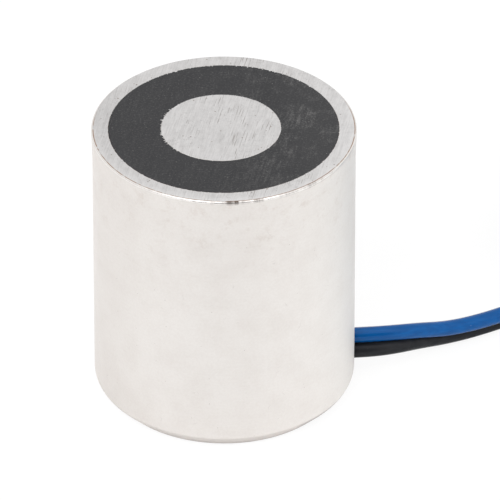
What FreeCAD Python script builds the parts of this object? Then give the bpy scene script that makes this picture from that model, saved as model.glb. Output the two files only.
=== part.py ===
import FreeCAD, Part
import math
import os

# Electro-permanent holding magnet. A steel pot holds a disc magnet under its centre pole,
# and a coil round the pole cancels the field while current flows. Sizes are in mm.
# The origin is the centre of the back face, +Z points out of the holding face, and the
# two leads leave the pot along +X.

# Cup, turned from steel bar
cup_d = 20.0
cup_h = 23.0
wall_t = 1.25
floor_t = 1.2
back_chamfer = 1.15
rim_break = 0.1
floor_corner_r = 0.3

# Tapped hole in the back, M4
thread_d = 4.0
tap_d = 3.3
tap_depth = 4.5
drill_point_deg = 118.0
web_over_drill = 0.9

# Magnet and centre pole, which stand a little off the cup's axis
pot_gap = 4.2
boss_shoulder = 0.65
magnet_t = 3.0
magnet_chamfer = 0.2
pole_foot_chamfer = 0.3
pole_shift_x = -0.22
pole_shift_y = 0.11

# Coil on its bobbin
bobbin_clear = 0.05
bobbin_wall = 0.45
flange_t = 0.7
flange_edge_r = 0.2
flange_gap = 0.5
flange_over_tape = 0.6
tape_t = 0.12
resin_cover = 1.9
coil_wire_d = 0.25
coil_end_bend_r = 0.8
coil_end_grip = 0.3
slot_w = 0.8
slot_clear = 0.5

# Leads where they pass the wall and lie round the boss
lead_d = 1.2
lead_gap = 0.04
stack_tilt_deg = 14.0
hole_clear = 0.1
hole_lead_in = 0.15
plug_recess = 0.35
straight_out = 1.6
entry_bend_r = 1.5
lead_inside = 4.0

# Splices of leads and coil ends
strand_core_d = 0.4
joint_d = 0.84
joint_l = 3.0
sleeve_clear = 0.05
sleeve_wall = 0.15
sleeve_floor_gap = 0.075
sleeve_l = 6.5
sleeve_lap = 1.2
coil_end_out = 1.2

# Spare length of the leads, wound into two coils on each other and tied
coil_x = 33.6
coil_y = 15.6
coil_mean_d = 13.2
turns_wide = 2
turns_high = 2
coil_edge_r = 0.54
tie_t = 0.35
tie_corner_r = 0.3
tie_w = 2.4
tie_clear = 0.06
tie_azimuth_deg = 122.0
tie_end_d = 1.1
tie_end_l = 4.0
bare_end_l = 5.0

# Each arc of a lead starts this share of the shorter run from its corner
arc_share = 0.45

# Points of the two free leads: from the straight stretch at the wall to the coil, and from
# the coil to the bare end
black_run = [(13.5, 0.42, 1.91), (15.3, 1.64, 1.4), (17.3, 2.78, 0.88), (19.7, 3.93, 0.62),
             (22.6, 5.3, 0.6), (25.8, 6.72, 0.6), (29.4, 7.65, 0.72), (33.06, 7.82, 1.01)]
blue_run = [(13.3, 0.42, 3.15), (15.2, 1.14, 2.75), (17.4, 2.05, 2.13), (19.9, 3.15, 1.84),
            (22.8, 4.6, 1.74), (25.6, 6.05, 2.0), (28.3, 7.05, 2.95), (31.71, 8.03, 3.44)]
black_tail = [(34.78, 7.83, 2.21), (36.65, 8.04, 2.21), (38.87, 8.61, 2.0), (40.89, 9.91, 1.4),
              (42.59, 11.97, 0.76), (43.35, 14.23, 0.6)]
blue_tail = [(38.54, 9.28, 4.61), (40.65, 10.85, 4.5), (42.44, 13.23, 3.4), (43.21, 16.44, 1.95),
             (42.6, 19.61, 0.8), (41.03, 22.06, 0.6)]

cup_r = cup_d / 2
bore_r = cup_r - wall_t
pole_r = bore_r - pot_gap
boss_r = pole_r + boss_shoulder
drill_tip = tap_d / 2 / math.tan(math.radians(drill_point_deg / 2))
seat_z = tap_depth + drill_tip + web_over_drill
magnet_top = seat_z + magnet_t
pole_axis = FreeCAD.Vector(pole_shift_x, pole_shift_y, 0)

bobbin_bore_r = pole_r + bobbin_clear
spool_r = bobbin_bore_r + bobbin_wall
flange_r = bore_r - flange_gap
tape_r = flange_r - flange_over_tape
winding_r = tape_r - tape_t
window_bottom = seat_z + flange_t
bobbin_top = cup_h - resin_cover
window_top = bobbin_top - flange_t

lead_r = lead_d / 2
lead_pitch = lead_d + lead_gap
hole_r = (lead_pitch + lead_d) / 2 + hole_clear
lead_y = lead_pitch / 2 * math.sin(math.radians(stack_tilt_deg))
lead_rise = lead_pitch / 2 * math.cos(math.radians(stack_tilt_deg))
channel_r = (boss_r + bore_r) / 2
sleeve_bore_r = lead_r + sleeve_clear
sleeve_r = sleeve_bore_r + sleeve_wall
hole_z = floor_t + sleeve_floor_gap + sleeve_r + lead_rise

# Azimuths round the boss: end of the entry bend, lead end, joint end, sleeve ends, coil end
entry_y = lead_y + entry_bend_r
entry_x = math.sqrt((channel_r + entry_bend_r) ** 2 - entry_y ** 2)
entry_azimuth = math.atan2(entry_y, entry_x)
lead_end = entry_azimuth + lead_inside / channel_r
joint_end = lead_end + joint_l / channel_r
sleeve_start = lead_end - sleeve_lap / channel_r
sleeve_end = sleeve_start + sleeve_l / channel_r
coil_end_turn = sleeve_end + coil_end_out / channel_r

coil_in_r = coil_mean_d / 2 - turns_wide * lead_r
coil_out_r = coil_mean_d / 2 + turns_wide * lead_r
coil_layer_h = turns_high * lead_d
coil_base = tie_t + tie_clear


def turned(profile, axis=FreeCAD.Vector(0, 0, 0)):
    """Solid turned about the vertical through axis, from a profile of (radius, z) points."""
    points = [FreeCAD.Vector(r, 0, z) for r, z in profile]
    face = Part.Face(Part.makePolygon(points + points[:1]))
    solid = face.revolve(FreeCAD.Vector(0, 0, 0), FreeCAD.Vector(0, 0, 1), 360)
    solid.translate(axis)
    return solid


def ring(r_in, r_out, z_low, z_high, axis):
    return turned([(r_in, z_low), (r_out, z_low), (r_out, z_high), (r_in, z_high)], axis)


def disc(radius, z_low, z_high, axis=FreeCAD.Vector(0, 0, 0)):
    return Part.makeCylinder(radius, z_high - z_low, axis + FreeCAD.Vector(0, 0, z_low))


def circles_at(solid, radius, z):
    """Edges of a turned solid that are full circles of one radius at one height."""
    return [e for e in solid.Edges if e.Closed and isinstance(e.Curve, Part.Circle)
            and abs(e.Curve.Radius - radius) < 1e-6 and abs(e.Curve.Center.z - z) < 1e-6]


def rod(path, radius):
    """Round rod of one radius along a wire of lines and tangent arcs."""
    first = path.OrderedEdges[0]
    start = first.FirstParameter
    section = Part.makeCircle(radius, first.valueAt(start), first.tangentAt(start))
    return path.makePipe(Part.Face(Part.Wire(section)))


def line(start, end):
    return Part.LineSegment(start, end).toShape()


def arc(start, middle, end):
    return Part.Arc(start, middle, end).toShape()


def on_channel(azimuth, side, z):
    """Point on the middle line of the channel round the boss; side +1 is +Y, -1 is -Y."""
    return FreeCAD.Vector(channel_r * math.cos(azimuth), side * channel_r * math.sin(azimuth), z)


def channel_arc(start, end, side, z):
    return arc(*(on_channel(a, side, z) for a in (start, (start + end) / 2, end)))


def lead_z(side):
    return hole_z + side * lead_rise


def housing_cup():
    """Cup with its boss, tapped hole, chamfered back edge and cross hole for the leads."""
    tap_r = tap_d / 2
    mouth_r = thread_d / 2
    profile = [(mouth_r, 0), (cup_r - back_chamfer, 0), (cup_r, back_chamfer), (cup_r, cup_h - rim_break),
               (cup_r - rim_break, cup_h), (bore_r, cup_h), (bore_r, floor_t), (boss_r, floor_t),
               (boss_r, seat_z), (0, seat_z), (0, tap_depth + drill_tip), (tap_r, tap_depth),
               (tap_r, mouth_r - tap_r)]
    cup = turned(profile)
    corners = circles_at(cup, bore_r, floor_t) + circles_at(cup, boss_r, floor_t)
    cup = cup.makeFillet(floor_corner_r, corners)
    along = FreeCAD.Vector(1, 0, 0)
    hole = Part.makeCylinder(hole_r, cup_r, FreeCAD.Vector(channel_r, 0, hole_z), along)
    mouth = Part.makeCone(hole_r, hole_r + 2 * hole_lead_in, 2 * hole_lead_in,
                          FreeCAD.Vector(cup_r - hole_lead_in, 0, hole_z), along)
    return cup.cut(hole.fuse(mouth))


def permanent_magnet():
    c = magnet_chamfer
    return turned([(0, seat_z), (pole_r - c, seat_z), (pole_r, seat_z + c), (pole_r, magnet_top - c),
                   (pole_r - c, magnet_top), (0, magnet_top)], pole_axis)


def centre_pole():
    c = pole_foot_chamfer
    return turned([(0, magnet_top), (pole_r - c, magnet_top), (pole_r, magnet_top + c), (pole_r, cup_h),
                   (0, cup_h)], pole_axis)


def coil_end_foot(side):
    """Point where a coil end turns up from the channel, and its direction of travel there."""
    foot = on_channel(coil_end_turn, side, lead_z(side))
    return foot, FreeCAD.Vector(-math.sin(coil_end_turn), side * math.cos(coil_end_turn), 0)


def slot(side):
    """Cutter for the slot that lets a coil end through the lower flange."""
    foot, along = coil_end_foot(side)
    stem = foot + along * coil_end_bend_r
    reach = math.hypot(stem.x, stem.y) - slot_clear
    corner = FreeCAD.Vector(reach, -slot_w / 2, seat_z - flange_t)
    cutter = Part.makeBox(flange_r, slot_w, 3 * flange_t, corner)
    azimuth = math.degrees(math.atan2(stem.y, stem.x))
    cutter.rotate(FreeCAD.Vector(0, 0, 0), FreeCAD.Vector(0, 0, 1), azimuth)
    return cutter


def coil_bobbin():
    """Spool with two flanges; the lower one sits on the boss and has two slots."""
    spool = turned([(bobbin_bore_r, seat_z), (flange_r, seat_z), (flange_r, window_bottom),
                    (spool_r, window_bottom), (spool_r, window_top), (flange_r, window_top),
                    (flange_r, bobbin_top), (bobbin_bore_r, bobbin_top)], pole_axis)
    heights = (seat_z, window_bottom, window_top, bobbin_top)
    rims = [e for z in heights for e in circles_at(spool, flange_r, z)]
    return spool.makeFillet(flange_edge_r, rims).cut([slot(1), slot(-1)])


def coil_end(side):
    """One end of the coil wire, from its splice through the flange slot into the winding."""
    foot, along = coil_end_foot(side)
    up = FreeCAD.Vector(0, 0, 1)
    half = math.sqrt(0.5)
    middle = foot + along * (coil_end_bend_r * half) + up * (coil_end_bend_r * (1 - half))
    stem = foot + (along + up) * coil_end_bend_r
    top = FreeCAD.Vector(stem.x, stem.y, window_bottom + coil_end_grip)
    flat = channel_arc(joint_end, coil_end_turn, side, foot.z)
    return rod(Part.Wire([flat, arc(foot, middle, stem), line(stem, top)]), coil_wire_d / 2)


def copper_winding():
    turns = ring(spool_r, winding_r, window_bottom, window_top, pole_axis)
    return turns.fuse([coil_end(1), coil_end(-1)]).removeSplitter()


def winding_tape():
    return ring(winding_r, tape_r, window_bottom, window_top, pole_axis)


def lead_inner(side):
    """Lead from the outer wall through the cross hole, round the entry bend and along the channel."""
    y = side * lead_y
    z = lead_z(side)
    bend_centre = FreeCAD.Vector(entry_x, side * entry_y, z)
    half_way = math.radians(225) + entry_azimuth / 2
    bend = arc(FreeCAD.Vector(entry_x, y, z),
               bend_centre + FreeCAD.Vector(math.cos(half_way), side * math.sin(half_way), 0) * entry_bend_r,
               on_channel(entry_azimuth, side, z))
    start = line(FreeCAD.Vector(cup_r, y, z), FreeCAD.Vector(entry_x, y, z))
    return rod(Part.Wire([start, bend, channel_arc(entry_azimuth, lead_end, side, z)]), lead_r)


def splice_joint(side):
    return rod(Part.Wire([channel_arc(lead_end, joint_end, side, lead_z(side))]), joint_d / 2)


def splice_cover(side, radius):
    return rod(Part.Wire([channel_arc(sleeve_start, sleeve_end, side, lead_z(side))]), radius)


def splice_sleeve(side):
    return splice_cover(side, sleeve_r).cut(splice_cover(side, sleeve_bore_r))


def potting_resin(pieces):
    """All of the pot that the other pieces leave free, and a plug in the cross hole."""
    plug = Part.makeCylinder(hole_r, cup_r - plug_recess - channel_r, FreeCAD.Vector(channel_r, 0, hole_z),
                             FreeCAD.Vector(1, 0, 0))
    fill = disc(bore_r, floor_t, cup_h).fuse(plug)
    boss = disc(boss_r, floor_t, seat_z)
    spool_bore = disc(bobbin_bore_r, seat_z, bobbin_top, pole_axis)
    return fill.cut(pieces + [boss, spool_bore, splice_cover(1, sleeve_r), splice_cover(-1, sleeve_r)])


def cord_path(name, points):
    """Straight runs joined by tangent arcs, each as large as its two runs allow."""
    edges = []
    here = points[0]
    radii = []
    for before, corner, after in zip(points, points[1:], points[2:]):
        back = before - corner
        ahead = after - corner
        reach = arc_share * min(back.Length, ahead.Length)
        half_turn = (math.pi - back.getAngle(ahead)) / 2
        radii.append(reach / math.tan(half_turn))
        back.normalize()
        ahead.normalize()
        inward = (back + ahead).normalize()
        inside = radii[-1] * (1 / math.cos(half_turn) - 1)
        edges.append(line(here, corner + back * reach))
        edges.append(arc(corner + back * reach, corner + inward * inside, corner + ahead * reach))
        here = corner + ahead * reach
    edges.append(line(here, points[-1]))
    path = Part.Wire(edges)
    print(name, "length", round(path.Length, 1), "radii", [round(r, 1) for r in radii])
    return path


def free_lead(name, side, run, tail, layer, parts):
    """Run from the wall to the coil, the coil's outer shape, the tail and its bare end."""
    bottom = coil_base + layer * coil_layer_h
    coil_axis = FreeCAD.Vector(coil_x, coil_y, 0)
    coil = ring(coil_in_r, coil_out_r, bottom, bottom + coil_layer_h, coil_axis)
    coil = coil.makeFillet(coil_edge_r, [e for e in coil.Edges if e.Closed])
    exits = [FreeCAD.Vector(cup_r + x, side * lead_y, lead_z(side)) for x in (0, straight_out)]
    run_path = cord_path(name + " run", exits + [FreeCAD.Vector(*p) for p in run])
    tail_points = [FreeCAD.Vector(*p) for p in tail]
    tail_path = cord_path(name + " tail", tail_points)
    for path in (run_path, tail_path):
        plain = math.pi * lead_r ** 2 * path.Length
        print("  volume over section times length", round(rod(path, lead_r).Volume / plain, 6))
    onward = tail_points[-1] - tail_points[-2]
    parts[name + "_lead_run"] = rod(run_path, lead_r).cut(coil)
    parts[name + "_lead_coil"] = coil
    parts[name + "_lead_tail"] = rod(tail_path, lead_r).cut(coil)
    parts[name + "_lead_tip"] = Part.makeCylinder(strand_core_d / 2, bare_end_l, tail_points[-1], onward)


def lead_tie():
    """Twist tie: a flat loop round both coils and its two ends twisted together."""
    edge = math.sqrt(coil_in_r ** 2 - tie_w ** 2 / 4)
    low = coil_base - tie_clear
    high = coil_base + 2 * coil_layer_h + tie_clear
    window = Part.makeBox(coil_out_r + 2 * tie_clear - edge, tie_w, high - low,
                          FreeCAD.Vector(edge - tie_clear, -tie_w / 2, low))
    outside = Part.makeBox(window.BoundBox.XLength + 2 * tie_t, tie_w, window.BoundBox.ZLength + 2 * tie_t,
                           FreeCAD.Vector(window.BoundBox.XMin - tie_t, -tie_w / 2, low - tie_t))
    across = [e for e in outside.Edges if abs(e.tangentAt(e.FirstParameter).y) > 0.5]
    loop = outside.makeFillet(tie_corner_r, across).cut(window)
    root = FreeCAD.Vector(outside.BoundBox.XMax - tie_t / 2, 0, (low + high) / 2)
    twist = Part.makeCylinder(tie_end_d / 2, tie_end_l, root, FreeCAD.Vector(1, 0, 0))
    tie = loop.fuse(twist).removeSplitter()
    tie.rotate(FreeCAD.Vector(0, 0, 0), FreeCAD.Vector(0, 0, 1), tie_azimuth_deg)
    tie.translate(FreeCAD.Vector(coil_x, coil_y, 0))
    return tie


parts = {
    "housing_cup": housing_cup(),
    "permanent_magnet": permanent_magnet(),
    "centre_pole": centre_pole(),
    "coil_bobbin": coil_bobbin(),
    "copper_winding": copper_winding(),
    "winding_tape": winding_tape(),
}
for colour, side in (("blue", 1), ("black", -1)):
    parts[colour + "_lead_inner"] = lead_inner(side)
    parts[colour + "_splice_joint"] = splice_joint(side)
    parts[colour + "_splice_sleeve"] = splice_sleeve(side)
parts["potting_resin"] = potting_resin(list(parts.values()))
free_lead("black", -1, black_run, black_tail, 0, parts)
free_lead("blue", 1, blue_run, blue_tail, 1, parts)
parts["lead_tie"] = lead_tie()

os.makedirs("parts", exist_ok=True)
for node, shape in parts.items():
    print(node, "solids", len(shape.Solids), "valid", shape.isValid(), "volume", round(shape.Volume, 3))
    shape.exportStep("parts/" + node + ".step")
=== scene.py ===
import math

import bpy
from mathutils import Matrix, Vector


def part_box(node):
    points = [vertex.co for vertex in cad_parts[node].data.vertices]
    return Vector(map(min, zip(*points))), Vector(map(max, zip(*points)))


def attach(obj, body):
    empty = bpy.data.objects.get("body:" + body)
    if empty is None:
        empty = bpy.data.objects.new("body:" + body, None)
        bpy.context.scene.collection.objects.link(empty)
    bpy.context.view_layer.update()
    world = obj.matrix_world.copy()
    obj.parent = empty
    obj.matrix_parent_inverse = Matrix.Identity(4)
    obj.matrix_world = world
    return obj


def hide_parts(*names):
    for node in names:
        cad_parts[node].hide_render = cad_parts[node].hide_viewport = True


# Electro-permanent holding magnet: a steel pot with a disc magnet under its centre pole and a coil
# round the pole, potted in black resin and ground flat. It stands on its back, and its two leads
# leave low along +X. The frame is in metres.
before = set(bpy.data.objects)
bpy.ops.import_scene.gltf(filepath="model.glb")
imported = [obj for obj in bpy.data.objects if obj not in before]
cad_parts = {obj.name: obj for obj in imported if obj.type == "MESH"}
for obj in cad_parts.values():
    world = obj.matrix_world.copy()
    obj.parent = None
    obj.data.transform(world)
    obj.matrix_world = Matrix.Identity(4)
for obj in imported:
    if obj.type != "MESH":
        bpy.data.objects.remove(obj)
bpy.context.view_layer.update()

# Housing cup: turned in one piece from steel bar and nickel plated, with a tapped hole in its back
# and a cross hole for the leads. The rim was ground flat once the pot was filled, so its face is
# bare steel, and its outer edge is pushed out to a small lip with worn and nicked plating.
mm = 0.001
cup_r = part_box("housing_cup")[1].y
cup_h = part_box("housing_cup")[1].z
bore_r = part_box("potting_resin")[1].y
floor_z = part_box("potting_resin")[0].z
boss_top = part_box("permanent_magnet")[0].z
boss_r = 5.2 * mm
corner_r = 0.3 * mm
back_chamfer = 1.15 * mm
chamfer_deg = 45
back_round = 0.8 * mm
edge_round = 0.05 * mm
wall_shares = (0.25, 0.5, 0.75)
cup_segments = 800
cup_seed = 2.0
seam_weld = 1e-7

# Rim: the lip's reach and height, the depth of nicks and burrs, and the hairline gap to the resin
rim_lip = 0.07 * mm
rim_drop = 0.16 * mm
rim_in = 0.03 * mm
rim_nick = 0.17 * mm
rim_burr = -0.09 * mm
burr_drop = 0.03 * mm
burr_azimuth = math.radians(80)
resin_gap = 0.045 * mm
gap_azimuth = math.radians(206)
gap_depth = 0.3 * mm
plating_line = 0.05 * mm
ground_proud = 0.01 * mm
ground_height = cup_h - 0.5 * ground_proud
level_normal = 0.9
worn_azimuth = math.radians(-88)

# Bruises of the front edge: azimuth and half width in degrees, and strength
bruises = ((-90.5, 4.6, 0.9), (-92.0, 13.0, 0.4), (-79.5, 2.8, 0.8), (-66.0, 5.0, 0.4),
           (-53.5, 3.0, 0.6))

# Tapped hole and lead hole
thread_r = 2.0 * mm
tap_r = 1.65 * mm
thread_depth = thread_r - tap_r
tap_depth = 4.5 * mm
thread_pitch = 0.7 * mm
thread_steep = 1.6
thread_flat = 0.25
rows_per_thread = 7
drill_half_angle = math.radians(59)
hole_r = 1.32 * mm
hole_mouth = 0.15 * mm
hole_sides = 74
hole_inside = 1.5 * mm
hole_l = 4 * mm
hole_z = (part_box("black_lead_inner")[0].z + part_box("blue_lead_inner")[1].z) / 2

# Colours of the plating and the bare steel
nickel = (0.843, 0.819, 0.796)
nickel_shade = (0.772, 0.737, 0.709)
# Darker nickel of the painted shade on the back chamfer and under the lip
nickel_dull_shade = (0.69, 0.65, 0.62)
nickel_side_shade = (0.5, 0.47, 0.45)
nickel_stain = (0.66, 0.595, 0.55)
speck_brown = (0.17, 0.12, 0.085)
rust_brown = (0.09, 0.064, 0.05)
steel_light = (0.735, 0.722, 0.717)
steel_dark = (0.46, 0.448, 0.443)
# Pale steel of the painted highlight on the rim and the pole's edge
steel_highlight = (0.88, 0.87, 0.865)
copper_edge = (0.33, 0.20, 0.13)
grind_azimuth = math.radians(74.5)


class Wire:
    """One output of a node. Arithmetic on it adds Math nodes to the same tree."""

    def __init__(self, socket):
        self.socket = socket

    def math(self, operation, *others):
        """A Math node that has this wire as its first value."""
        values = dict(enumerate((self, *others)))
        return Tree(self.socket.id_data).add("ShaderNodeMath", values, operation=operation)

    def __add__(self, other):
        return self.math("ADD", other)

    def __sub__(self, other):
        return self.math("SUBTRACT", other)

    def __rsub__(self, other):
        return self.math("MULTIPLY_ADD", -1.0, other)

    def __mul__(self, other):
        return self.math("MULTIPLY", other)

    def __truediv__(self, other):
        return self.math("DIVIDE", other)

    def __gt__(self, other):
        return self.math("GREATER_THAN", other)

    def __abs__(self):
        return self.math("ABSOLUTE")

    __radd__ = __add__
    __rmul__ = __mul__

    def within(self, low, high):
        """This value, held between two bounds."""
        return self.math("MAXIMUM", low).math("MINIMUM", high)

    def rise(self, low, high):
        """0 below low and 1 above high, with a smooth step between; low may be the larger."""
        values = {"Value": self, "From Min": low, "From Max": high}
        tree = Tree(self.socket.id_data)
        return tree.add("ShaderNodeMapRange", values, interpolation_type="SMOOTHSTEP")


class Tree:
    """A node tree, to which one method adds any node."""

    def __init__(self, tree):
        self.tree = tree

    def add(self, kind, values=None, output=0, **settings):
        """Adds a node, applies its settings, then fills its sockets, and gives one output as a wire."""
        node = self.tree.nodes.new(kind)
        for name, setting in settings.items():
            setattr(node, name, setting)
        for name, value in (values or {}).items():
            self.fill(self.pick(node.inputs, name), value)
        return Wire(self.pick(node.outputs, output)) if node.outputs else node

    def pick(self, sockets, name):
        """A socket by its number, or by the name or identifier of one that is in use."""
        if isinstance(name, int):
            return sockets[name]
        return next(s for s in sockets if s.enabled and name in (s.name, s.identifier))

    def fill(self, socket, value):
        """Links a wire, or a list of wires, to a socket, or sets the socket's own value."""
        for one in value if isinstance(value, list) else [value]:
            if isinstance(one, Wire):
                self.tree.links.new(one.socket, socket)
            elif socket.type == "RGBA":
                socket.default_value = (*one, 1.0)
            else:
                socket.default_value = one

    def part(self, vector, axis):
        """One coordinate of a vector."""
        return self.add("ShaderNodeSeparateXYZ", {0: vector}, axis)

    def vector(self, x=0.0, y=0.0, z=0.0):
        """A vector from its three coordinates."""
        return self.add("ShaderNodeCombineXYZ", {0: x, 1: y, 2: z})


class Finish(Tree):
    """A material on the Principled shader, with its patterns in mm of the object's own space."""

    def __init__(self, name):
        self.material = bpy.data.materials.new(name)
        self.material.use_nodes = True
        super().__init__(self.material.node_tree)
        place = self.add("ShaderNodeTexCoord", output="Object")
        self.here = self.scaled(place, (1 / mm, 1 / mm, 1 / mm))

    def scaled(self, place, scale, turn=0.0):
        """A place scaled along each axis and then turned about Z."""
        values = {"Vector": place, "Rotation": (0, 0, turn), "Scale": scale}
        return self.add("ShaderNodeMapping", values)

    def noise(self, place, scale, detail=2.0, roughness=0.5):
        """Soft clouds between 0 and 1."""
        values = {"Vector": place, "Scale": scale, "Detail": detail, "Roughness": roughness}
        return self.add("ShaderNodeTexNoise", values)

    def dots(self, scale, radius, share):
        """Round specks of one radius in mm. Scale is cells per mm, and a share of them holds a speck."""
        cell = {"Vector": self.here, "Scale": scale}
        middle = self.add("ShaderNodeTexVoronoi", cell, "Distance")
        lot = self.add("ShaderNodeTexVoronoi", cell, "Color")
        chosen = self.add("ShaderNodeSeparateColor", {0: lot}).rise(share + 0.01, share)
        return middle.rise(radius * scale, radius * scale * 0.5) * chosen

    def mix(self, factor, first, second):
        """A colour between two others."""
        values = {"Factor_Float": factor, "A_Color": first, "B_Color": second}
        return self.add("ShaderNodeMix", values, "Result_Color", data_type="RGBA")

    def carried(self, attribute):
        """A number that the mesh carries at each of its points."""
        return self.add("ShaderNodeAttribute", output="Fac", attribute_name=attribute)

    def bump(self, height, distance, strength=1.0):
        """A normal for a relief whose full height is that distance."""
        values = {"Height": height, "Distance": distance, "Strength": strength}
        return self.add("ShaderNodeBump", values)

    def shade(self, **values):
        """Fills the shader's sockets, named with _ for each space, and gives the finished material."""
        shader = next(n for n in self.tree.nodes if n.type == "BSDF_PRINCIPLED")
        for name, value in values.items():
            self.fill(self.pick(shader.inputs, name.replace("_", " ")), value)
        return self.material


def nickel_plate():
    """Satin nickel: warm, faintly mottled, with turning marks under it, a few dark specks and painted
    shade.
    """
    skin = Finish("nickel_plate")
    east, height = (skin.part(skin.here, axis) for axis in "XZ")
    mottle = skin.noise(skin.here, 0.5, 4)
    grain = skin.noise(skin.here, 5.5, 4, 0.65)
    marks = skin.noise(skin.scaled(skin.here, (0.12, 0.12, 5.5)), 1, 3)
    shade = mottle.rise(0.35, 0.75) * 0.22 + grain.rise(0.3, 0.7) * 0.27 + marks.rise(0.4, 0.8) * 0.1
    # Painted shade: the wall is painted darker near its foot and on its -X side; it is also darker towards
    # the top.
    shade = shade + height.rise(9, 23) * 0.2 + height.rise(7, 1) * 0.2 + east.rise(-5, -10) * 0.35
    stain = skin.noise(skin.here, 1.1, 6, 0.7).rise(0.5, 0.75) * (0.06 + height.rise(14, 22) * 0.36)
    hairs = abs(skin.noise(skin.here, 1.3, 1) - 0.5).rise(0.012, 0.004)
    scuffs = hairs * skin.noise(skin.here, 0.7, 3).rise(0.62, 0.69)
    specks = skin.dots(1.5, 0.036, 0.4)
    colour = skin.mix(stain, skin.mix(shade, nickel, nickel_shade), nickel_stain)
    colour = skin.mix(specks * 0.5 + scuffs * 0.12, colour, speck_brown)
    # Painted shade: the back chamfer and the line under the lip are painted darker, and darker still in a
    # band on the chamfer's +X side.
    side_shade = skin.mix(east.rise(4.5, 6) * east.rise(9.5, 7), nickel_dull_shade, nickel_side_shade)
    colour = skin.mix(skin.carried("dull"), colour, side_shade)
    colour = skin.mix(skin.carried("bruise"), colour, rust_brown)
    relief = grain * 0.6 + marks * 0.25 + mottle - specks * 0.6 - scuffs * 0.4
    rough = (0.58 + mottle * 0.1 + grain * 0.06) * (1 - skin.carried("burnish") * 0.6)
    return skin.shade(Base_Color=colour, Metallic=1 - skin.carried("dull") * 0.75, Roughness=rough,
                      Normal=skin.bump(relief, 0.004 * mm, 0.5))


def ground_steel(name, edge_colour):
    """Bare steel off a surface grinder: fine lines one way, scratches, pits, a worn edge, painted shade
    and a painted highlight.
    """
    face = Finish(name)
    across = face.scaled(face.here, (1, 1, 1), -grind_azimuth)
    east, north = (face.part(face.here, axis) for axis in "XY")
    lines = face.noise(face.scaled(across, (0.5, 9.0, 1)), 1, 4, 0.65)
    broad = face.noise(face.scaled(across, (0.35, 1.6, 1)), 1, 4)
    blotch = face.noise(face.here, 1.7, 6, 0.7)
    grain = face.noise(face.here, 9, 3)
    scored = face.noise(face.here, 0.55, 2).rise(0.42, 0.58)
    scored = scored * (0.3 + east.rise(-3, 2) * 0.7) * east.rise(8, 5)
    scratches = face.noise(face.scaled(across, (0.45, 12, 1)), 1, 1).rise(0.61, 0.69) * scored
    marked = face.noise(face.here, 0.5, 2).rise(0.5, 0.64)
    marks = marked * face.noise(face.here, 5.5, 4, 0.7).rise(0.54, 0.68)
    pits = face.dots(1.7, 0.075, 0.6)
    rust = face.dots(0.9, 0.085, 0.8)
    shade = lines.rise(0.3, 0.7) * 0.32 + broad.rise(0.3, 0.75) * 0.18 + blotch.rise(0.38, 0.72) * 0.22
    shade = shade + grain.rise(0.35, 0.7) * 0.14 + scratches * 0.9 + marks * 0.55
    # Painted shade and light: the face is painted darker on its -X side and lighter on its +X side.
    shade = shade + east.rise(-5, -10) * 0.2 - east.rise(5, 10) * 0.12 - 0.04
    worn = face.carried("edge").rise(0.1, 0.7) * face.noise(face.here, 1.6, 4).rise(0.32, 0.5)
    colour = face.mix(shade, steel_light, steel_dark)
    colour = face.mix(pits * 0.6 + rust * 0.7 + scratches * 0.4, colour, speck_brown)
    # Painted highlight: the rim's outer part and the pole's top edge are painted paler on the -Y side.
    colour = face.mix(face.carried("bright") * north.rise(3, -3), colour, steel_highlight)
    colour = face.mix(worn * north.rise(4, 0) * 0.9, colour, edge_colour)
    colour = face.mix(face.carried("bruise"), colour, rust_brown)
    height = lines + blotch * 0.6 - scratches * 0.8 - pits - marks
    return face.shade(Base_Color=colour, Metallic=1.0, Roughness=0.34 + lines * 0.16,
                      Normal=face.bump(height, 0.005 * mm, 0.5))


class Shape(Tree):
    """A geometry tree that makes one piece. Its named inputs are the wires in given."""

    def __init__(self, name, inputs):
        super().__init__(bpy.data.node_groups.new(name, "GeometryNodeTree"))
        interface = self.tree.interface
        for label, kind in inputs.items():
            interface.new_socket(label, in_out="INPUT", socket_type="NodeSocket" + kind)
        interface.new_socket("Piece", in_out="OUTPUT", socket_type="NodeSocketGeometry")
        source = self.add("NodeGroupInput").socket.node
        self.given = {socket.name: Wire(socket) for socket in source.outputs if socket.name}

    def end(self, body, material, where=True):
        """Ends the tree in a plain mesh with a material on all its faces, or on some."""
        body = self.add("GeometryNodeRealizeInstances", {0: body})
        values = {"Geometry": body, "Selection": where, "Material": material}
        self.add("NodeGroupOutput", {0: self.add("GeometryNodeSetMaterial", values)})
        return self.tree


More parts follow.
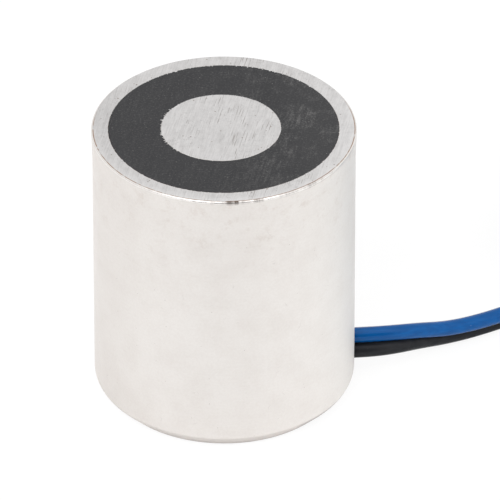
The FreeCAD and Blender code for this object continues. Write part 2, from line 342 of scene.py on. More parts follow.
def turned_tree():
    """Turns a profile of rows about an axis, with the thread, burrs, nicks and gap that rows carry."""
    shape = Shape("turned_piece", {
        "Profile": "Geometry", "Segments": "Int", "Seed": "Float", "Thread Pitch": "Float",
        "Gap Azimuth": "Float", "Burr Azimuth": "Float", "Worn Azimuth": "Float", "Axis": "Vector",
        "Ground Height": "Float", "Skin": "Material", "Ground": "Material"})
    given = shape.given
    count = shape.add("GeometryNodeAttributeDomainSize", {0: given["Profile"]}, "Point Count")
    columns = given["Segments"] + 1
    grid = shape.add("GeometryNodeMeshGrid", {"Vertices X": count, "Vertices Y": columns})
    index = shape.add("GeometryNodeInputIndex")
    row = (index / columns).math("FLOOR")
    turn = (index - row * columns) / given["Segments"]
    azimuth = turn * math.tau
    east = azimuth.math("COSINE")
    north = azimuth.math("SINE")

    def of_row(value, kind):
        """A value of the profile at this point's row."""
        values = {"Geometry": given["Profile"], "Value": value, "Index": row}
        return shape.add("GeometryNodeSampleIndex", values, data_type=kind)

    def carried(name):
        """A number that this point's row carries."""
        return of_row(shape.add("GeometryNodeInputNamedAttribute", {"Name": name}), "FLOAT")

    def ripple(scale, detail):
        """Noise round the axis, the same for every row."""
        ring = shape.vector(east, north, given["Seed"])
        return shape.add("ShaderNodeTexNoise", {"Vector": ring, "Scale": scale, "Detail": detail})

    def facing(middle):
        """1 at one azimuth, falling to -1 on the far side."""
        return (azimuth - middle).math("COSINE")

    def bruised(middle, half, strength):
        """One bruise, at full strength over the middle third of its width."""
        limits = (math.cos(math.radians(angle)) for angle in (half, half / 3))
        return facing(math.radians(middle)).rise(*limits) * strength

    place = of_row(shape.add("GeometryNodeInputPosition"), "FLOAT_VECTOR")
    radius, height = (shape.part(place, axis) for axis in "XZ")
    flank = abs((height / given["Thread Pitch"] - turn).math("FRACT") * 2 - 1)
    thread = (flank * thread_steep - thread_flat).within(0.0, 1.0)
    worn = facing(given["Worn Azimuth"]).rise(0.5, 0.85)
    nick = 0.25 + ripple(9, 6).rise(0.36, 0.62) * 0.45 + ripple(46, 3).rise(0.45, 0.75) * 0.35
    nick = nick * (0.15 + worn * 0.85)
    chips = ripple(30, 3).rise(0.5, 0.62) * worn
    broken = ripple(34, 3).rise(0.34, 0.54) * (0.4 + ripple(52, 2).rise(0.4, 0.6) * 0.6)
    bruise = sum(bruised(*spot) for spot in bruises) * (0.15 + broken * 0.8) + chips * 0.15
    roughest = facing(given["Burr Azimuth"]).rise(0.5, 1.0)
    teeth = ripple(72, 3).rise(0.46, 0.8)
    burr = (ripple(14, 5) * 0.5 + teeth * 1.6 - 0.35) * (0.25 + roughest * 0.75)
    gap = facing(given["Gap Azimuth"]).rise(0.1, 0.8) * (ripple(30, 3) * 0.8 + 0.6)
    radius = radius + carried("thread") * thread + carried("burr") * burr * 2
    radius = radius + carried("spread") * nick + carried("gap") * gap
    height = height + carried("sink") * (nick + bruise * 0.4)
    values = {0: shape.vector(east * radius, north * radius, height), 1: given["Axis"]}
    moved = shape.add("ShaderNodeVectorMath", values, operation="ADD")
    body = shape.add("GeometryNodeSetPosition", {"Geometry": grid, "Position": moved})
    # The rows' marks go on to the mesh, among them the painted shade of the dull mark and the painted
    # highlight.
    looks = {name: carried(name) for name in ("edge", "burnish", "dull", "bright")}
    looks["bruise"] = carried("bruise") * bruise
    for name, value in looks.items():
        values = {"Geometry": body, "Name": name, "Value": value}
        body = shape.add("GeometryNodeStoreNamedAttribute", values)
    body = shape.add("GeometryNodeMergeByDistance", {"Geometry": body, "Distance": seam_weld})
    body = shape.add("GeometryNodeFlipFaces", {0: body})
    body = shape.add("GeometryNodeSetMaterial", {"Geometry": body, "Material": given["Skin"]})
    upward = shape.part(shape.add("GeometryNodeInputNormal"), "Z") > level_normal
    level = shape.part(shape.add("GeometryNodeInputPosition"), "Z") > given["Ground Height"]
    return shape.end(body, given["Ground"], upward * level)


def soft_edges(mesh, sharp_over=math.radians(32)):
    """Smooth shading that stays crisp at edges sharper than the given angle."""
    mesh.shade_smooth()
    mesh.set_sharp_from_angle(angle=sharp_over)


def settled(piece, modifier):
    """Turns what a modifier makes into the piece's own plain mesh, and removes the modifier."""
    graph = bpy.context.evaluated_depsgraph_get()
    mesh = bpy.data.meshes.new_from_object(piece.evaluated_get(graph), depsgraph=graph)
    piece.modifiers.remove(modifier)
    piece.data = mesh
    mesh.name = piece.name
    return piece


def grown(name, source, group, **values):
    """A plain mesh object from a source mesh and a node group with these values as its inputs."""
    piece = bpy.data.objects.new(name, source)
    bpy.context.scene.collection.objects.link(piece)
    shaper = piece.modifiers.new("shape", "NODES")
    shaper.node_group = group
    for item in group.interface.items_tree:
        key = item.name.lower().replace(" ", "_")
        if item.in_out == "INPUT" and key in values:
            shaper[item.identifier] = values[key]
    return settled(piece, shaper)


def profile_mesh(rows):
    """Rows of radius, height and what moves or marks the row, as the points of a mesh."""
    mesh = bpy.data.meshes.new("profile")
    mesh.from_pydata([(r, 0, z) for r, z, carries in rows], [(i, i + 1) for i in range(len(rows) - 1)], [])
    for name in ("thread", "burr", "spread", "sink", "gap", "edge", "burnish", "dull", "bright", "bruise"):
        layer = mesh.attributes.new(name, "FLOAT", "POINT")
        layer.data.foreach_set("value", [carries.get(name, 0.0) for r, z, carries in rows])
    return mesh


def fillet(centre_r, centre_z, start, end, radius, steps=4):
    """Rows of an arc in the profile, from one angle to another in degrees."""
    angles = [math.radians(start + (end - start) * i / steps) for i in range(steps + 1)]
    return [(centre_r + radius * math.cos(a), centre_z + radius * math.sin(a), {}) for a in angles]


def thread_rows():
    """Rows of the tapped hole from its full depth to its mouth. The thread fades out at both ends."""
    step = thread_pitch / rows_per_thread
    rows = []
    for i in range(1, int((tap_depth - thread_depth) / step)):
        z = tap_depth - i * step
        fade = min(1.0, (tap_depth - z) / thread_pitch, (z - thread_depth) / (0.5 * thread_pitch))
        rows.append((tap_r, z, {"thread": thread_depth * max(fade, 0.0)}))
    return rows


def back_edge():
    """Rows of the round where the back's chamfer meets the wall; the plating there is duller and painted
    darker, as painted shade.
    """
    start = back_chamfer + back_round * math.tan(math.radians(chamfer_deg / 2))
    dull_and_shade_levels = (1.0, 1.0, 1.0, 0.8, 0.16, 0.0, 0.0)
    rows = fillet(cup_r - back_round, start, -chamfer_deg, 0, back_round, len(dull_and_shade_levels) - 1)
    return [(r, z, {"dull": dull}) for (r, z, carries), dull in zip(rows, dull_and_shade_levels)]


def rim_rows():
    """Rows over the rim: up the lip, in over the ground face and down the gap to the resin."""
    top = cup_h + ground_proud
    edge_r = cup_r - rim_in
    worn_in = -0.2 * rim_nick
    # Rows of the lip: share of its reach, drops below the top, and what the row carries
    lip = (
        (0.0, 15, {}),
        (0.25, 10.5, {}),
        (0.6, 6, {}),
        (0.85, 2.5, {}),
        (0.95, 1.5, {"sink": -0.4 * rim_nick}),
        # The dull mark on this row paints a thin line of shade under the lip.
        (1.0, 1.1, {"sink": -0.4 * rim_nick, "dull": 0.6, "bruise": 0.28}),
        (1.0, 0.8, {"sink": -0.4 * rim_nick, "burnish": 0.8, "bruise": 0.5}),
        (1.0, 0.45, {"sink": -0.3 * rim_nick, "burnish": 1.0, "bruise": 0.6}),
        (0.7, 0.3, {"sink": -0.2 * rim_nick, "burnish": 1.0, "bruise": 0.7}),
    )
    rows = [(cup_r + share * rim_lip, top - drops * rim_drop, carries) for share, drops, carries in lip]
    rows += [
        (edge_r, top, {"spread": worn_in, "edge": 1.0, "burnish": 0.9, "bruise": 1.0}),
        (edge_r - plating_line, top, {"spread": worn_in, "edge": 0.8, "bruise": 0.4}),
        # These rows carry the painted highlight on the outer part of the ground face.
        (edge_r - 2 * plating_line, top, {"spread": worn_in, "bright": 0.32}),
        ((cup_r + bore_r) / 2, top, {"bright": 0.05}),
        (bore_r + plating_line, top, {"burr": rim_burr, "gap": resin_gap}),
        (bore_r, top, {"burr": rim_burr, "gap": resin_gap, "edge": 0.45}),
        (bore_r, top - burr_drop, {"burr": 0.5 * rim_burr, "gap": resin_gap}),
        (bore_r, top - gap_depth, {}),
    ]
    return rows


def cup_rows():
    """Profile of the cup from the drill point round the back, up the wall, over the rim and inside."""
    drill_tip = tap_depth + tap_r / math.tan(drill_half_angle)
    chamfer_r = cup_r - back_chamfer
    rows = [(0, drill_tip, {}), (tap_r, tap_depth, {})]
    rows += thread_rows()
    rows += [(tap_r, thread_depth, {}), (thread_r - edge_round, edge_round, {}), (thread_r, 0, {})]
    # The back chamfer is duller and painted darker, as painted shade.
    rows += [(chamfer_r - edge_round, 0, {}), (chamfer_r + edge_round, edge_round, {"dull": 1.0})]
    rows += back_edge()
    rows += [(cup_r, back_chamfer + (cup_h - back_chamfer) * share, {}) for share in wall_shares]
    rows += rim_rows()
    rows += fillet(bore_r - corner_r, floor_z + corner_r, 0, -90, corner_r)
    rows += fillet(boss_r + corner_r, floor_z + corner_r, 270, 180, corner_r)
    rows += [(boss_r, boss_top, {}), (0, boss_top, {})]
    return rows


def drilled(piece):
    """Cuts the cross hole for the leads, with its broken outer edge, through the wall at +X."""
    hole = (bore_r - hole_inside, hole_l, hole_r, hole_r)
    mouth = (cup_r - hole_mouth, 2 * hole_mouth, hole_r, hole_r + 2 * hole_mouth)
    for start, length, near_r, far_r in (hole, mouth):
        bpy.ops.mesh.primitive_cone_add(vertices=hole_sides, radius1=near_r, radius2=far_r, depth=length)
        cutter = bpy.context.object
        cutter.rotation_euler = (0, math.pi / 2, 0)
        cutter.location = (start + length / 2, 0, hole_z)
        cut = piece.modifiers.new("hole", "BOOLEAN")
        cut.object = cutter
        cut.solver = "EXACT"
        settled(piece, cut)
        bpy.data.objects.remove(cutter)


turned_piece = turned_tree()
housing = grown("housing", profile_mesh(cup_rows()), turned_piece, segments=cup_segments, seed=cup_seed,
                thread_pitch=thread_pitch, gap_azimuth=gap_azimuth, burr_azimuth=burr_azimuth,
                worn_azimuth=worn_azimuth, axis=(0, 0, 0), ground_height=ground_height,
                skin=nickel_plate(), ground=ground_steel("ground_rim", copper_edge))
drilled(housing)
soft_edges(housing.data)
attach(housing, "root")
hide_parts("housing_cup")

# Centre pole: a round steel bar on top of the magnet, ground flush with the rim after potting. The
# wheel has drawn small burrs out over the resin all round its edge.
pole_low, pole_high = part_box("centre_pole")
pole_r = (pole_high.y - pole_low.y) / 2
pole_axis = ((pole_low.x + pole_high.x) / 2, (pole_low.y + pole_high.y) / 2, 0)
pole_top = cup_h + ground_proud
pole_foot = 0.3 * mm
pole_burr = 0.1 * mm
pole_burr_l = 0.09 * mm
pole_burr_drop = 0.02 * mm
pole_burr_root = 0.2 * mm
pole_burr_azimuth = math.radians(178)
pole_segments = 640
pole_seed = 7.0
pole_edge = (0.36, 0.31, 0.28)
pole_rows = [
    (0, pole_low.z, {}),
    (pole_r - pole_foot, pole_low.z, {}),
    (pole_r, pole_low.z + pole_foot, {}),
    (pole_r, (pole_low.z + pole_high.z) / 2, {}),
    (pole_r, cup_h - pole_burr_root, {}),
    (pole_r, cup_h - pole_burr_drop, {"burr": 0.5 * pole_burr}),
    # The top edge carries a painted highlight.
    (pole_r, pole_top, {"burr": pole_burr, "edge": 0.5, "bright": 0.8}),
    (pole_r - pole_burr_l, pole_top, {"burr": 0.5 * pole_burr}),
    (pole_r / 2, pole_top, {}),
    (0, pole_top, {}),
]


def turned_bar():
    """Plain turned steel of the pole's side, hidden in the pot."""
    bar = Finish("turned_bar")
    marks = bar.noise(bar.scaled(bar.here, (0.1, 0.1, 9)), 1, 3)
    return bar.shade(Base_Color=bar.mix(marks, steel_dark, steel_light), Metallic=1.0,
                     Roughness=0.3 + marks * 0.2, Normal=bar.bump(marks, 0.01 * mm))


pole = grown("pole", profile_mesh(pole_rows), turned_piece, segments=pole_segments, seed=pole_seed,
             thread_pitch=thread_pitch, burr_azimuth=pole_burr_azimuth, worn_azimuth=worn_azimuth,
             axis=pole_axis, ground_height=ground_height, skin=turned_bar(),
             ground=ground_steel("ground_pole", pole_edge))
soft_edges(pole.data)
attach(pole, "root")
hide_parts("centre_pole")

# Permanent magnet: a sintered disc with a thin nickel plate, held between the boss of the cup and the
# pole by its own pull.
magnet_dull = (0.62, 0.60, 0.57)
magnet_bright = (0.74, 0.72, 0.69)


def dress(node, material):
    """Gives a carried-over solid its finish."""
    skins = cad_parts[node].data.materials
    skins.clear()
    skins.append(material)


def magnet_plate():
    """Bright plate over a sintered disc, with the blank's fine grain under it."""
    skin = Finish("magnet_plate")
    grain = skin.noise(skin.here, 6, 4)
    return skin.shade(Base_Color=skin.mix(grain, magnet_dull, magnet_bright), Metallic=1.0,
                      Roughness=0.18 + grain * 0.15, Normal=skin.bump(grain, 0.01 * mm))


dress("permanent_magnet", magnet_plate())

# Coil: enamelled copper wire wound on a moulded nylon bobbin and held by a turn of film tape. The
# winding is one solid, so the wire's turns are in its finish.
coil_wire_d = 0.25 * mm
copper_deep = (0.32, 0.09, 0.035)
copper_light = (0.62, 0.26, 0.12)
nylon_dark = (0.56, 0.53, 0.46)
nylon_light = (0.68, 0.65, 0.57)
film_dark = (0.55, 0.36, 0.07)
film_light = (0.68, 0.47, 0.11)


def enamelled_copper():
    """Turns of enamelled wire: ribs one wire apart up the coil, reddish and glossy."""
    wire = Finish("enamelled_copper")
    height = wire.part(wire.here, "Z") * (math.tau * mm / coil_wire_d)
    rib = height.math("SINE") * 0.5 + 0.5
    tint = wire.noise(wire.here, 1.5, 2)
    return wire.shade(Base_Color=wire.mix(tint * 0.5 + rib * 0.4, copper_deep, copper_light), Metallic=1.0,
                      Roughness=0.22 + tint * 0.1, Coat_Weight=0.6, Normal=wire.bump(rib, 0.1 * mm))


def moulded(name, dark, light, roughness):
    """Moulded or extruded plastic with a faint cloud in its colour and a fine skin."""
    skin = Finish(name)
    cloud = skin.noise(skin.here, 0.6, 3)
    fine = skin.noise(skin.here, 14, 2)
    return skin.shade(Base_Color=skin.mix(cloud, dark, light), Roughness=roughness + fine * 0.12,
                      Normal=skin.bump(fine, 0.01 * mm, 0.6))


dress("coil_bobbin", moulded("spool_nylon", nylon_dark, nylon_light, roughness=0.45))
dress("copper_winding", enamelled_copper())
dress("winding_tape", moulded("winding_film", film_dark, film_light, roughness=0.2))

# Splices: each coil end is soldered to its lead in the channel round the boss, and the joint is
# covered by a plastic sleeve.
solder_dark = (0.42, 0.42, 0.41)
solder_light = (0.62, 0.62, 0.61)
sleeve_dark = (0.012, 0.012, 0.013)
sleeve_light = (0.022, 0.022, 0.023)


def solder():
    """Dull solder, frozen in small lumps."""
    joint = Finish("solder")
    lumps = joint.noise(joint.here, 3, 3)
    return joint.shade(Base_Color=joint.mix(lumps, solder_dark, solder_light), Metallic=1.0,
                       Roughness=0.3 + lumps * 0.2, Normal=joint.bump(lumps, 0.06 * mm))


solder_look = solder()
sleeve_look = moulded("sleeve_black", sleeve_dark, sleeve_light, roughness=0.5)
for colour in ("blue", "black"):
    dress(colour + "_splice_joint", solder_look)
    dress(colour + "_splice_sleeve", sleeve_look)

# Potting resin: black filled casting resin that fills the pot and the cross hole. The grinder has
# left its face matt, with pale specks of filler and cloudy scuffs.
resin_dark = (0.03, 0.03, 0.032)
resin_light = (0.04, 0.04, 0.042)
resin_scuffed = (0.25, 0.245, 0.24)
resin_filler = (0.29, 0.28, 0.265)


def black_resin():
    """Ground resin: dark grey, faint grinding streaks, pale specks and scuffs that thicken towards +X."""
    face = Finish("black_resin")
    across = face.scaled(face.here, (1, 1, 1), -grind_azimuth)
    lines = face.noise(face.scaled(across, (0.25, 6, 1)), 1, 3)
    east = face.part(face.here, "X")
    scuff = face.noise(face.here, 0.5, 6, 0.65).rise(0.4, 0.62) * (0.15 + east.rise(-2, 7) * 0.85)
    smear = face.noise(face.scaled(across, (0.7, 3.5, 1)), 1, 4, 0.6).rise(0.42, 0.7) * scuff
    powder = face.noise(face.here, 6, 4, 0.8).rise(0.5, 0.68) * (0.45 + scuff * 0.8)
    specks = face.dots(1.5, 0.055, 0.4) * 0.5 + face.dots(3.3, 0.04, 0.35) * 0.4
    colour = face.mix(lines.rise(0.3, 0.75), resin_dark, resin_light)
    colour = face.mix(smear * 0.28 + powder * 0.42 + east.rise(3.5, 7) * 0.03, colour, resin_scuffed)
    colour = face.mix(specks, colour, resin_filler)
    return face.shade(Base_Color=colour, Roughness=0.6 + lines * 0.2, Specular_IOR_Level=0.25,
                      Normal=face.bump(lines + powder * 0.5 + specks, 0.012 * mm, 0.6))


dress("potting_resin", black_resin())

# Leads: two stranded wires with PVC insulation, one on the other where they leave the pot. Their
# spare length is wound into two flat coils, in on the lower layer and out on the upper.
lead_d = 1.2 * mm
lead_bevel_steps = 5
lead_curve_steps = 8
black_dark = (0.018, 0.0185, 0.021)
black_light = (0.026, 0.0265, 0.029)
black_scuffed = (0.09, 0.09, 0.1)
blue_dark = (0.0005, 0.073, 0.262)
blue_light = (0.001, 0.094, 0.325)
blue_scuffed = (0.18, 0.27, 0.46)

# Routes in mm: each lead goes straight out of the wall, along its run to the coil and out by its
# tail. Its coil spirals in from the start radius and climbs a layer between two of its turns.
exits = {"black": (10.0, -0.15, 2.075), "blue": (10.0, 0.15, 3.278)}
straight_out = 1.6
runs = {
    "black": [(13.5, 0.42, 1.91), (15.3, 1.64, 1.4), (17.3, 2.78, 0.88), (19.7, 3.93, 0.62),
              (22.6, 5.3, 0.6), (25.8, 6.72, 0.6), (29.4, 7.65, 0.72), (33.06, 7.82, 1.01)],
    "blue": [(13.3, 0.42, 3.15), (15.2, 1.14, 2.75), (17.4, 2.05, 2.13), (19.9, 3.15, 1.84),
             (22.8, 4.6, 1.74), (25.6, 6.05, 2.0), (28.3, 7.05, 2.95), (31.71, 8.03, 3.44)],
}
coil_centre = (33.6, 15.6)
coil_start_r = 7.72
coil_turns = 4
turn_points = 18
climb_from = 1.85
climb_to = 2.15
tails = {
    "black": [(34.78, 7.83, 2.21), (36.65, 8.04, 2.21), (38.87, 8.61, 2.0), (40.89, 9.91, 1.4),
              (42.59, 11.97, 0.76), (43.35, 14.23, 0.6)],
    "blue": [(38.54, 9.28, 4.61), (40.65, 10.85, 4.5), (42.44, 13.23, 3.4), (43.21, 16.44, 1.95),
             (42.6, 19.61, 0.8), (41.03, 22.06, 0.6)],
}


def coil_points(start, end):
    """Points of the coil's turns, anticlockwise: in by one wire a turn, up a layer and out again."""
    begin, finish = (math.atan2(y - coil_centre[1], x - coil_centre[0]) for x, y, z in (start, end))
    turns = coil_turns + (finish - begin) / math.tau
    count = round(turns * turn_points)
    outside = 1 / math.cos(math.pi / turn_points)
    wire = lead_d / mm
    points = []
    for i in range(1, count):
        turn = turns * i / count
        radius = (coil_start_r - wire * min(turn, coil_turns - turn)) * outside
        azimuth = begin + math.tau * turn
        share = min(max((turn - climb_from) / (climb_to - climb_from), 0.0), 1.0)
        x = coil_centre[0] + radius * math.cos(azimuth)
        y = coil_centre[1] + radius * math.sin(azimuth)
        points.append((x, y, start[2] + wire * share * share * (3 - 2 * share)))
    return points


def lead(name, points, skin):
    """A round lead on one smooth spline, from its route in mm."""
    line = bpy.data.curves.new(name, "CURVE")
    line.dimensions = "3D"
    line.bevel_depth = lead_d / 2
    line.bevel_resolution = lead_bevel_steps
    line.use_fill_caps = True
    spline = line.splines.new("NURBS")
    spline.points.add(len(points) - 1)
    for point, place in zip(spline.points, points):
        point.co = (*(Vector(place) * mm), 1)
    spline.order_u = 3
    spline.use_endpoint_u = True
    spline.resolution_u = lead_curve_steps
    line.materials.append(skin)
    piece = bpy.data.objects.new(name, line)
    bpy.context.scene.collection.objects.link(piece)
    return piece


def insulation(name, dark, light, scuffed, gloss):
    """Extruded PVC: a soft gloss, faint streaks along it and a few pale scuffs."""
    skin = Finish(name)
    streak = skin.noise(skin.scaled(skin.here, (0.12, 2.2, 2.6)), 1, 3)
    fine = skin.noise(skin.here, 12, 2)
    scuff = skin.dots(1.2, 0.05, 0.3) * 0.6
    colour = skin.mix(scuff, skin.mix(streak.rise(0.3, 0.7), dark, light), scuffed)
    rough = 0.11 + fine * 0.08 + streak * 0.06
    return skin.shade(Base_Color=colour, Roughness=rough, Specular_IOR_Level=gloss,
                      Normal=skin.bump(streak + fine * 0.3, 0.02 * mm, 0.5))


lead_skins = {
    "black": insulation("black_lead", black_dark, black_light, black_scuffed, gloss=0.09),
    "blue": insulation("blue_lead", blue_dark, blue_light, blue_scuffed, gloss=0.2),
}
leads = {}
for colour, exit_at in exits.items():
    out = (exit_at[0] + straight_out, exit_at[1], exit_at[2])
    route = [exit_at, out, *runs[colour]]
    turns = coil_points(route[-1], tails[colour][0])
    leads[colour] = lead(colour + "_lead", route + turns + tails[colour], lead_skins[colour])
    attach(leads[colour], "root")
    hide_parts(*(f"{colour}_lead_{part}" for part in ("run", "coil", "tail")))
    colour + "_lead"
    dress(colour + "_lead_inner", lead_skins[colour])

# Bare ends: the last few millimetres of each lead, stripped of insulation. They are seven tinned
# copper strands with a slow twist, which splay a little towards the tip.
strand_d = 0.13 * mm
strand_sides = 10
strands_round = 6
helix_points = 48
bare_l = 5.0 * mm
strand_turns = 0.9
splay = 1.35
tin_bright = (0.66, 0.65, 0.63)
tin_dull = (0.5, 0.48, 0.45)


def strand_tree():
    """Strands in a helix round a straight one, from the origin along Z, turned and moved into place."""
    shape = Shape("bare_strands", {
        "Strand": "Float", "Length": "Float", "Turns": "Float", "Splay": "Float", "Place": "Vector",
        "Turn": "Rotation", "Metal": "Material"})
    given = shape.given
    helix = shape.add("GeometryNodeCurveSpiral", {
        "Resolution": helix_points, "Rotations": given["Turns"], "Start Radius": given["Strand"],
        "End Radius": given["Strand"] * given["Splay"], "Height": given["Length"]})
    spots = shape.add("GeometryNodePoints", {"Count": strands_round})
    step = shape.add("GeometryNodeInputIndex") * (math.tau / strands_round)
    turn = shape.add("FunctionNodeEulerToRotation", {0: shape.vector(z=step)})
    values = {"Points": spots, "Instance": helix, "Rotation": turn}
    outer = shape.add("GeometryNodeInstanceOnPoints", values)
    core = shape.add("GeometryNodeCurvePrimitiveLine", {"End": shape.vector(z=given["Length"])})
    strands = shape.add("GeometryNodeJoinGeometry", {0: [core, outer]})
    strands = shape.add("GeometryNodeRealizeInstances", {0: strands})
    values = {"Resolution": strand_sides, "Radius": given["Strand"] * 0.5}
    section = shape.add("GeometryNodeCurvePrimitiveCircle", values)
    values = {"Curve": strands, "Profile Curve": section, "Fill Caps": True}
    body = shape.add("GeometryNodeCurveToMesh", values)
    values = {"Geometry": body, "Translation": given["Place"], "Rotation": given["Turn"]}
    body = shape.add("GeometryNodeTransform", values)
    return shape.end(body, given["Metal"])


def tinned_strand():
    """Tinned copper, a little dull."""
    metal = Finish("tinned_strand")
    tarnish = metal.noise(metal.here, 4, 3)
    return metal.shade(Base_Color=metal.mix(tarnish, tin_bright, tin_dull), Metallic=1.0,
                       Roughness=0.25 + tarnish * 0.2)


bare_strands = strand_tree()
tinned = tinned_strand()
on_lead = {}
for colour in leads:
    last, end = (Vector(point) * mm for point in tails[colour][-2:])
    turn = (end - last).normalized().to_track_quat("Z", "Y").to_euler()
    tip = grown(colour + "_bare_end", bpy.data.meshes.new("source"), bare_strands, strand=strand_d,
                length=bare_l, turns=strand_turns, splay=splay, place=end, turn=turn, metal=tinned)
    soft_edges(tip.data)
    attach(tip, "root")
    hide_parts(colour + "_lead_tip")
    on_lead[colour] = [tip]

# Twist tie: a flat black plastic strip with a wire core, closed round both coils, with its two ends
# twisted together outside them.
tie_w = 2.4 * mm
tie_flat = 0.24 * mm
tie_core = 0.42 * mm
tie_corner = 0.3 * mm
tie_inner = 5.02 * mm
tie_outer = 8.06 * mm
tie_low = 0.18 * mm
tie_high = 5.44 * mm
tie_azimuth = math.radians(122)
tie_centre = (coil_centre[0] * mm, coil_centre[1] * mm, 0)
strip_points = 28
strip_edge_slope = 3
corner_points = 6
twist_l = 4.0 * mm
twist_turns = 1.6
twist_narrow = 0.55
twist_thick = 2.0
twist_points = 40
tie_dark = (0.013, 0.013, 0.014)
tie_light = (0.024, 0.024, 0.025)


def tie_tree():
    """A strip swept round a rounded rectangle across the coil, and a twist of it leading outwards."""
    shape = Shape("twist_tie", {
        "Strip Width": "Float", "Flat": "Float", "Core": "Float", "Inner": "Float", "Outer": "Float",
        "Low": "Float", "High": "Float", "Corner": "Float", "Twist Length": "Float",
        "Twist Turns": "Float", "Narrow": "Float", "Thick": "Float", "Azimuth": "Float",
        "Centre": "Vector", "Plastic": "Material"})
    given = shape.given
    outline = shape.add("GeometryNodeCurvePrimitiveCircle", {"Resolution": strip_points, "Radius": 1.0})
    place = shape.add("GeometryNodeInputPosition")
    side, along = (shape.part(place, axis) for axis in "XY")
    face = (side * strip_edge_slope).within(-1.0, 1.0)
    ridge = along * given["Strip Width"] / given["Core"]
    ridge = (1 - ridge * ridge).math("MAXIMUM", 0.0)
    thick = face * 0.5 * (given["Flat"] + (given["Core"] - given["Flat"]) * ridge)
    moved = shape.vector(thick, along * given["Strip Width"] * 0.5)
    strip = shape.add("GeometryNodeSetPosition", {"Geometry": outline, "Position": moved})
    width = given["Outer"] - given["Inner"]
    values = {"Width": width, "Height": given["High"] - given["Low"]}
    loop = shape.add("GeometryNodeCurvePrimitiveQuadrilateral", values)
    values = {"Curve": loop, "Count": corner_points, "Radius": given["Corner"]}
    loop = shape.add("GeometryNodeFilletCurve", values, mode="POLY")
    loop = shape.add("GeometryNodeSetCurveNormal", {"Curve": loop}, mode="Z_UP")
    loop = shape.add("GeometryNodeCurveToMesh", {"Curve": loop, "Profile Curve": strip})
    root = shape.vector(width * 0.5)
    end = shape.vector(width * 0.5 + given["Twist Length"])
    twist = shape.add("GeometryNodeCurvePrimitiveLine", {"Start": root, "End": end})
    twist = shape.add("GeometryNodeResampleCurve", {"Curve": twist, "Count": twist_points})
    turn = shape.add("GeometryNodeSplineParameter", output="Factor") * given["Twist Turns"] * math.tau
    twist = shape.add("GeometryNodeSetCurveTilt", {"Curve": twist, "Tilt": turn})
    pair = shape.vector(given["Thick"], given["Narrow"], 1.0)
    pair = shape.add("GeometryNodeTransform", {"Geometry": strip, "Scale": pair})
    values = {"Curve": twist, "Profile Curve": pair, "Fill Caps": True}
    twist = shape.add("GeometryNodeCurveToMesh", values)
    body = shape.add("GeometryNodeJoinGeometry", {0: [loop, twist]})
    middle = shape.vector((given["Outer"] + given["Inner"]) * 0.5, z=(given["High"] + given["Low"]) * 0.5)
    values = {"Geometry": body, "Translation": middle, "Rotation": (math.pi / 2, 0, 0)}
    body = shape.add("GeometryNodeTransform", values)
    turn = shape.add("FunctionNodeEulerToRotation", {0: shape.vector(z=given["Azimuth"])})
    values = {"Geometry": body, "Translation": given["Centre"], "Rotation": turn}
    body = shape.add("GeometryNodeTransform", values)
    return shape.end(body, given["Plastic"])


tie = grown("twist_tie", bpy.data.meshes.new("source"), tie_tree(), strip_width=tie_w, flat=tie_flat,
            core=tie_core, inner=tie_inner, outer=tie_outer, low=tie_low, high=tie_high,
            corner=tie_corner, twist_length=twist_l, twist_turns=twist_turns, narrow=twist_narrow,
            thick=twist_thick, azimuth=tie_azimuth, centre=tie_centre,
            plastic=moulded("tie_black", tie_dark, tie_light, roughness=0.42))
soft_edges(tie.data)
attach(tie, "root")
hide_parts("lead_tie")
on_lead["black"].append(tie)

# Floor and light: a white sweep under even studio light, at which a colour renders as it is written.
# The sweep is white to the camera, white in reflections but for a painted cool tint in its far corner, and
# still takes a faint shadow.
floor_size = 4.0
white = (1, 1, 1)
ambient = 0.55
overhead = (0.0, -0.3, 1.0)
overhead_cone = (42, 24)
overhead_gain = 0.9
room_side = (-0.05, -0.9, 0.4)
room_cone = (44, 18)
room_loss = 0.88
lamp_size = 0.8
key_place = (-0.5, -0.7, 0.9)
key_power = 9.0
fill_place = (0.8, -0.3, 0.6)
fill_power = 4.0

# The sweep's colour near by and in its far corner, and its glow: for light, mirrored and seen
sweep_plain = ((0.82, 0.82, 0.82), (0.82, 0.82, 0.82), 0.0)
# Painted reflection: in reflections only, the far corner at +X is a cool grey, which tints the wall's +X
# side.
sweep_mirrored = ((0.92, 0.92, 0.92), (0.89, 0.935, 0.94), 0.16)
sweep_seen = ((0.14, 0.14, 0.14), (0.14, 0.14, 0.14), 0.89)


def ray(tree, kind):
    """1 for rays of one kind, such as those from the camera, and 0 for all others."""
    return tree.add("ShaderNodeLightPath", output=f"Is {kind} Ray")


def white_sweep():
    """Paper white, which glows a little where the camera sees it, and less in reflections, where its far
    corner is a painted cool grey.
    """
    sweep = Finish("white_sweep")
    sweep.tree.nodes.remove(next(n for n in sweep.tree.nodes if n.type == "BSDF_PRINCIPLED"))
    east, north = (sweep.part(sweep.here, axis) for axis in "XY")
    painted_tint_corner = east.rise(4, 22) * north.rise(-14, 4)

    def paper(near_colour, far_colour, glow):
        """Matt paper with an even glow."""
        tint = sweep.mix(painted_tint_corner, near_colour, far_colour)
        matt = sweep.add("ShaderNodeBsdfDiffuse", {"Color": tint})
        lit = sweep.add("ShaderNodeEmission", {"Color": white, "Strength": glow})
        return sweep.add("ShaderNodeAddShader", {0: matt, 1: lit})

    look = paper(*sweep_plain)
    views = {"Glossy": sweep_mirrored, "Transmission": sweep_mirrored, "Camera": sweep_seen}
    for kind, values in views.items():
        look = sweep.add("ShaderNodeMixShader", {0: ray(sweep, kind), 1: look, 2: paper(*values)})
    output = next(n for n in sweep.tree.nodes if n.type == "OUTPUT_MATERIAL")
    sweep.fill(output.inputs["Surface"], look)
    return sweep.material


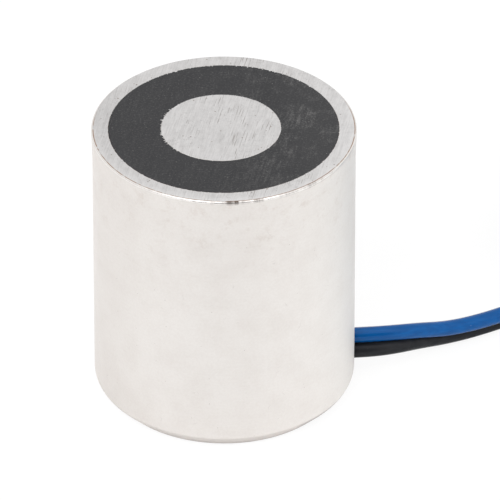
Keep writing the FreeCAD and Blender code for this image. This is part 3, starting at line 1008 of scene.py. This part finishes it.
bpy.ops.mesh.primitive_plane_add(size=floor_size)
floor = bpy.context.object
floor.name = "floor"
floor.data.materials.append(white_sweep())

world = bpy.data.worlds.new("studio")
bpy.context.scene.world = world
world.use_nodes = True
world.node_tree.nodes.clear()
sky = Tree(world.node_tree)
direction = sky.add("ShaderNodeTexCoord", output="Generated")


def toward(way, wide, narrow):
    """1 in a cone of directions round one way, with a soft edge between two angles in degrees."""
    values = {0: direction, 1: Vector(way).normalized()}
    spread = sky.add("ShaderNodeVectorMath", values, "Value", operation="DOT_PRODUCT")
    return spread.rise(math.cos(math.radians(wide)), math.cos(math.radians(narrow)))


shown = 1 + toward(overhead, *overhead_cone) * overhead_gain - toward(room_side, *room_cone) * room_loss
direct = ray(sky, "Camera") + ray(sky, "Glossy") + ray(sky, "Transmission")
direct = direct.math("MINIMUM", 1.0)
level = direct * shown + (1 - direct) * ambient
backdrop = sky.add("ShaderNodeBackground", {"Color": white, "Strength": level})
sky.add("ShaderNodeOutputWorld", {"Surface": backdrop})


def soft_box(name, place, power):
    """A square lamp that faces the magnet and doesn't show in its reflections."""
    lamp = bpy.data.lights.new(name, "AREA")
    lamp.size = lamp_size
    lamp.energy = power
    holder = bpy.data.objects.new(name, lamp)
    holder.location = place
    holder.rotation_euler = (-holder.location).to_track_quat("-Z", "Y").to_euler()
    holder.visible_glossy = False
    bpy.context.scene.collection.objects.link(holder)


soft_box("key", key_place, key_power)
soft_box("fill", fill_place, fill_power)

# Camera: long lens from the front, a little to the left, looking down on the holding face. It is
# aimed so that the middle of the cup falls on its pixel of the photo.
photo_px = 500
view_azimuth = math.radians(-4.5)
view_elevation = math.radians(34.26)
view_distance = 0.714
focal_px = 9338.0
sensor = 36.0
cup_centre_px = (224.24, 253.82)
right = Vector((math.cos(view_azimuth), math.sin(view_azimuth), 0))
back = Vector((math.sin(view_azimuth) * math.cos(view_elevation),
               -math.cos(view_azimuth) * math.cos(view_elevation),
               math.sin(view_elevation)))
up = back.cross(right)
middle = Vector((0, 0, cup_h / 2))
metres_per_px = view_distance / focal_px
aim = middle + right * (photo_px / 2 - cup_centre_px[0]) * metres_per_px
aim = aim - up * (photo_px / 2 - cup_centre_px[1]) * metres_per_px
lens = bpy.data.cameras.new("camera")
lens.sensor_width = sensor
lens.lens = focal_px * sensor / photo_px
camera = bpy.data.objects.new("camera", lens)
camera.location = middle + back * view_distance
camera.rotation_euler = (camera.location - aim).to_track_quat("Z", "Y").to_euler()
bpy.context.scene.collection.objects.link(camera)
bpy.context.scene.camera = camera
bpy.context.scene.view_settings.view_transform = "Standard"
